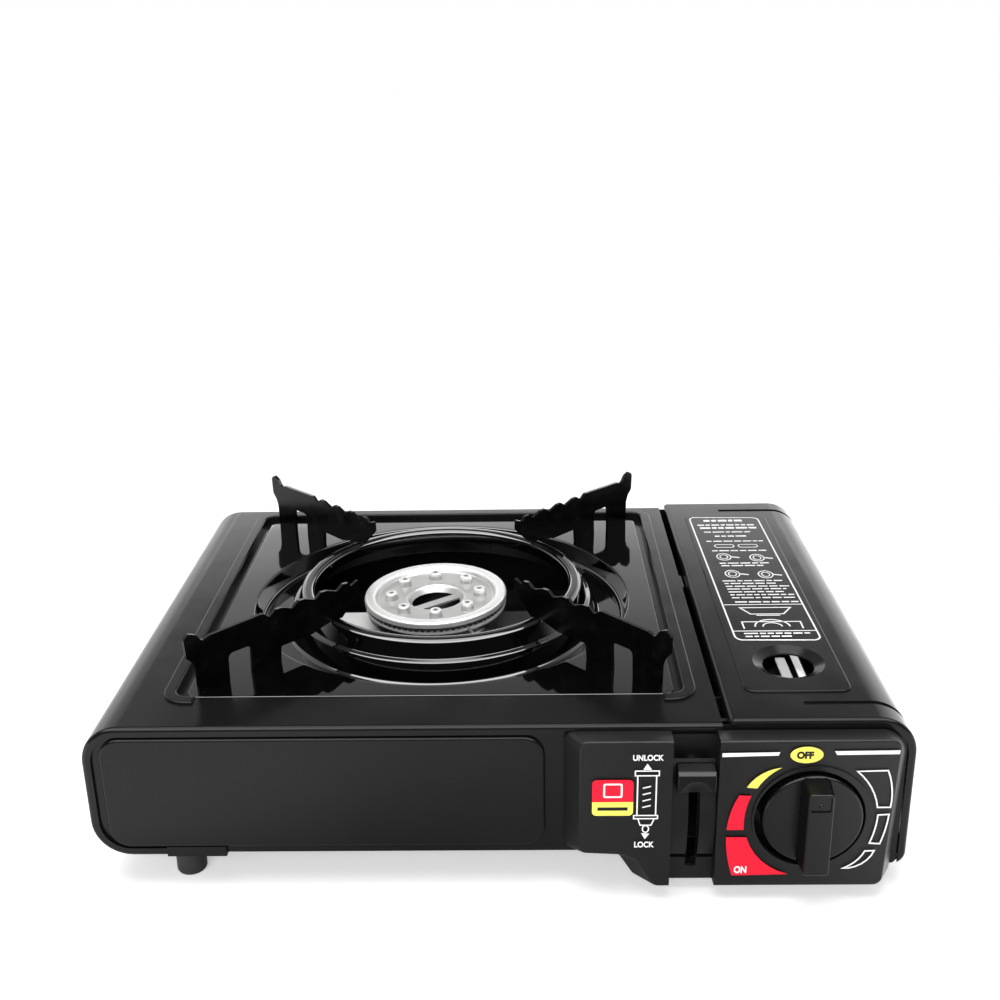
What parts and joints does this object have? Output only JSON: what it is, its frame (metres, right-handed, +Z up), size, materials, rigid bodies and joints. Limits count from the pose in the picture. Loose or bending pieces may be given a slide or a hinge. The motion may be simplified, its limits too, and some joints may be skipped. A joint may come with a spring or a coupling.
{
  "type": "portable cassette gas stove",
  "caption": "Single-burner camping stove with drip pan, pan supports, turn knob, lock lever and hinged cartridge cover.",
  "frame": {"origin": "centre of the overall box on the floor plane", "axes": "+X to the cartridge side (right, seen from the front), +Y to the back, +Z up"},
  "size_m": [0.34, 0.2686, 0.1051],
  "materials": {
    "shell_paint": "satin dark grey paint",
    "pan_enamel": "glossy black enamel",
    "support_enamel": "satin black enamel",
    "tray_steel": "zinc-plated sheet",
    "burner_aluminium": "pressed, light satin",
    "burner_dark": "heat-blackened",
    "brass": "machined",
    "bright_steel": "plated",
    "ceramic": "glazed white",
    "diecast": "die-cast, matte",
    "fascia_plastic": "fine-grained",
    "knob_plastic": "fine-grained",
    "rubber": "moulded",
    "lead_insulation": "silicone",
    "igniter_plastic": "moulded"
  },
  "bodies": {
    "housing": {"base_tray": "tray_steel", "burner_bowl": "burner_aluminium", "burner_crown": "burner_aluminium", "burner_port_ring": "burner_dark", "burner_stand": "bright_steel", "burner_strap": "bright_steel", "cartridge_tray": "tray_steel", "catch_spring": "bright_steel", "catch_studs": "bright_steel", "control_fascia": "fascia_plastic", "cover_catch": "bright_steel", "cover_hinge_pins": "bright_steel", "electrode_bracket": "bright_steel", "electrode_ceramic": "ceramic", "electrode_pin": "bright_steel", "foot_front_left": "rubber", "foot_front_right": "rubber", "foot_rear_left": "rubber", "foot_rear_right": "rubber", "foot_screws": "bright_steel", "front_panel": "shell_paint", "gas_jet": "brass", "gas_pipe": "burner_aluminium", "ignition_lead": "lead_insulation", "inlet_socket": "diecast", "lever_bracket": "bright_steel", "lever_pivot_pin": "bright_steel", "lever_slot_plate": "fascia_plastic", "mixing_tube": "burner_aluminium", "notch_guide": "bright_steel", "outer_shell": "shell_paint", "partition_wall": "tray_steel", "piezo_igniter": "igniter_plastic", "rear_panel": "shell_paint", "rear_screws": "bright_steel", "regulator_body": "diecast", "regulator_bracket": "bright_steel", "regulator_diaphragm": "diecast"},
    "drip_pan_set": {"drip_pan": "pan_enamel", "pan_support_1": "support_enamel", "pan_support_2": "support_enamel", "pan_support_3": "support_enamel", "pan_support_4": "support_enamel", "support_rivets": "support_enamel"},
    "knob_set": {"knob": "knob_plastic", "knob_shaft": "brass", "trip_cam": "igniter_plastic"},
    "lever_set": {"lock_lever": "bright_steel", "lever_grip": "knob_plastic"},
    "catch": {"catch_slide": "bright_steel"},
    "cover": {"cartridge_cover": "shell_paint"}
  },
  "joints": [
    {"name": "pan_lift", "type": "slide", "parent": "housing", "child": "drip_pan_set", "axis": [0, 0, 1], "range_m": [0, 0.15]},
    {"name": "knob_turn", "type": "hinge", "parent": "housing", "child": "knob_set", "pos_m": [0.1271, -0.12, 0.0402], "axis": [0, -1, 0], "range_deg": [0, 135]},
    {"name": "lever_lock", "type": "hinge", "parent": "housing", "child": "lever_set", "pos_m": [0.0799, -0.07225, 0.0366], "axis": [1, 0, 0], "range_deg": [0, 46]},
    {"name": "catch_pull", "type": "slide", "parent": "housing", "child": "catch", "axis": [0, -1, 0], "range_m": [0, 0.00817], "deforming": ["catch_spring"]},
    {"name": "cover_open", "type": "hinge", "parent": "housing", "child": "cover", "pos_m": [0.164, 0, 0.0135], "axis": [0, 1, 0], "range_deg": [0, 92]}
  ],
  "couplings": [
    {"joint": "catch_pull", "follows": "lever_lock", "m_per_rad": 0.0099283}
  ]
}
